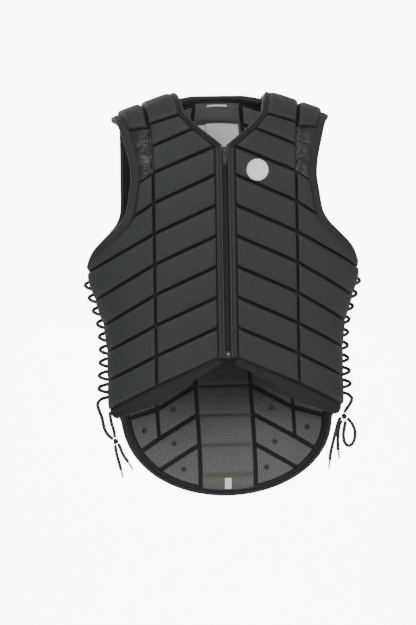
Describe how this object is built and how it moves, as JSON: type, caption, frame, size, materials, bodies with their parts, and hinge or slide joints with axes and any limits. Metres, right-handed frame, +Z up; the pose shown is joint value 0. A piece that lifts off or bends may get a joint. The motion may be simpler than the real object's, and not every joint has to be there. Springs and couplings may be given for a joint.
{
  "type": "equestrian body protector",
  "caption": "Sleeveless quilted foam riding vest with a chevron of stitched blocks, front zip, laced sides and a long rounded back.",
  "frame": {"origin": "between the shoulders under their pads, on the middle plane, where the wearer's shoulders would carry the vest", "axes": "+Z up the body, the front with the zip faces -Y, +X is the wearer's left, the viewer's right"},
  "size_m": [0.4402, 0.2089, 0.6536],
  "materials": {
    "nylon": "matte woven nylon over foam",
    "binding": "ribbed binding tape",
    "mesh": "grey spacer mesh",
    "white_fabric": "matte woven white",
    "zip_metal": "satin",
    "aglet_plastic": "grey shrunk plastic",
    "lace": "braided cord"
  },
  "bodies": {
    "vest": {"aglet_left_long": "aglet_plastic", "aglet_left_short": "aglet_plastic", "aglet_right_long": "aglet_plastic", "aglet_right_short": "aglet_plastic", "armhole_band_left": "binding", "armhole_band_right": "binding", "back_mesh_lining": "mesh", "back_panel": "nylon", "care_label": "white_fabric", "chest_patch": "white_fabric", "edge_loops_back_left": "lace", "edge_loops_back_right": "lace", "edge_loops_front_left": "lace", "edge_loops_front_right": "lace", "front_edge_binding_left": "binding", "front_edge_binding_right": "binding", "front_panel_left": "nylon", "front_panel_right": "nylon", "gathered_insert_left": "nylon", "gathered_insert_right": "nylon", "hanger_tag": "white_fabric", "lace_bow_right": "lace", "lace_end_left_long": "lace", "lace_end_left_short": "lace", "lace_end_right_long": "lace", "lace_end_right_short": "lace", "lace_knot_left": "lace", "lace_knot_right": "lace", "lace_strand_left": "lace", "neck_binding": "binding", "neck_label": "white_fabric", "shoulder_pad_inner_left": "nylon", "shoulder_pad_inner_right": "nylon", "shoulder_pad_outer_left": "nylon", "shoulder_pad_outer_right": "nylon", "side_lace_left": "lace", "side_lace_right": "lace", "tail_binding": "binding", "tail_tag": "white_fabric", "zip_bottom_box": "zip_metal", "zip_coil": "binding", "zip_facing_left": "nylon", "zip_facing_right": "nylon", "zip_slider": "zip_metal"},
    "zip_pull": {"zip_pull": "zip_metal"}
  },
  "joints": [
    {"name": "zip_pull_hinge", "type": "hinge", "parent": "vest", "child": "zip_pull", "pos_m": [0, -0.10173, -0.08411], "axis": [-1, 0, 0], "range_deg": [0, 160]}
  ]
}
